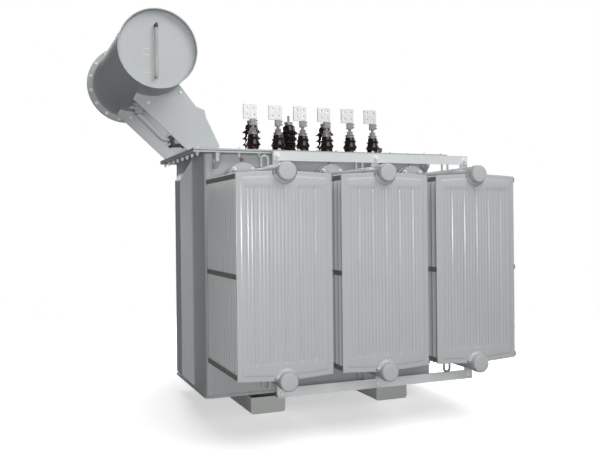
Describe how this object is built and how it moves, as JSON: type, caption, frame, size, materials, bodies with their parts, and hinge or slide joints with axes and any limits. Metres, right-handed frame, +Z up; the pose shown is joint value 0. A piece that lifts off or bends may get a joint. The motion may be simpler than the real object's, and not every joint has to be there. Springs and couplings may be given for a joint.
{
  "type": "oil-filled power transformer",
  "caption": "Oil-filled power transformer: plate tank on skids, pressed-panel radiators on both long sides, side-mounted oil conservator, and porcelain bushings on the cover.",
  "frame": {"origin": "on the floor under the middle of the tank, at the centre of the four skid fixing holes", "axes": "+X along the tank away from the conservator, +Y from the low-voltage side to the high-voltage side, +Z up"},
  "size_m": [2.2159, 2.532, 2.4],
  "materials": {
    "tank_paint": "semi-gloss light grey paint on steel plate",
    "radiator_paint": "semi-gloss light grey paint on pressed sheet steel",
    "base_paint": "grey paint on folded steel channel",
    "valve_metal": "dull grey paint on cast valve bodies",
    "dark_casting": "dark painted casting",
    "gauge_glass": "clear glass tube with a pale backing",
    "brown_porcelain": "dark brown glazed porcelain",
    "terminal_metal": "bright tinned metal",
    "brass_fitting": "plain brass"
  },
  "bodies": {
    "root": {"left_skid": "base_paint", "right_skid": "base_paint", "tank_bottom": "tank_paint", "tank_shell": "tank_paint", "tank_rim": "tank_paint", "tank_cover": "tank_paint", "left_end_stiffener": "tank_paint", "right_end_stiffener": "tank_paint", "lifting_lugs": "tank_paint", "front_left_radiator_fins": "radiator_paint", "front_middle_radiator_fins": "radiator_paint", "front_right_radiator_fins": "radiator_paint", "rear_left_radiator_fins": "radiator_paint", "rear_right_radiator_fins": "radiator_paint", "front_left_radiator_headers": "radiator_paint", "front_middle_radiator_headers": "radiator_paint", "front_right_radiator_headers": "radiator_paint", "rear_left_radiator_headers": "radiator_paint", "rear_right_radiator_headers": "radiator_paint", "front_radiator_straps": "radiator_paint", "rear_radiator_straps": "radiator_paint", "front_radiator_valves": "valve_metal", "rear_radiator_valves": "valve_metal", "front_tank_stubs": "tank_paint", "rear_tank_stubs": "tank_paint", "front_upper_tie_bar": "tank_paint", "front_lower_tie_bar": "tank_paint", "rear_upper_tie_bar": "tank_paint", "rear_lower_tie_bar": "tank_paint", "conservator_shell": "tank_paint", "conservator_front_plate": "tank_paint", "conservator_end_flange": "tank_paint", "conservator_end_cover": "tank_paint", "front_conservator_bracket": "tank_paint", "rear_conservator_bracket": "tank_paint", "oil_pipe": "tank_paint", "gas_relay": "dark_casting", "oil_gauge_fittings": "dark_casting", "oil_gauge_glass": "gauge_glass", "lv_insulators": "brown_porcelain", "lv_terminals": "terminal_metal", "hv_insulators": "brown_porcelain", "hv_terminals": "terminal_metal", "thermometer_pocket": "brass_fitting", "tap_changer_head": "dark_casting"}
  },
  "joints": []
}
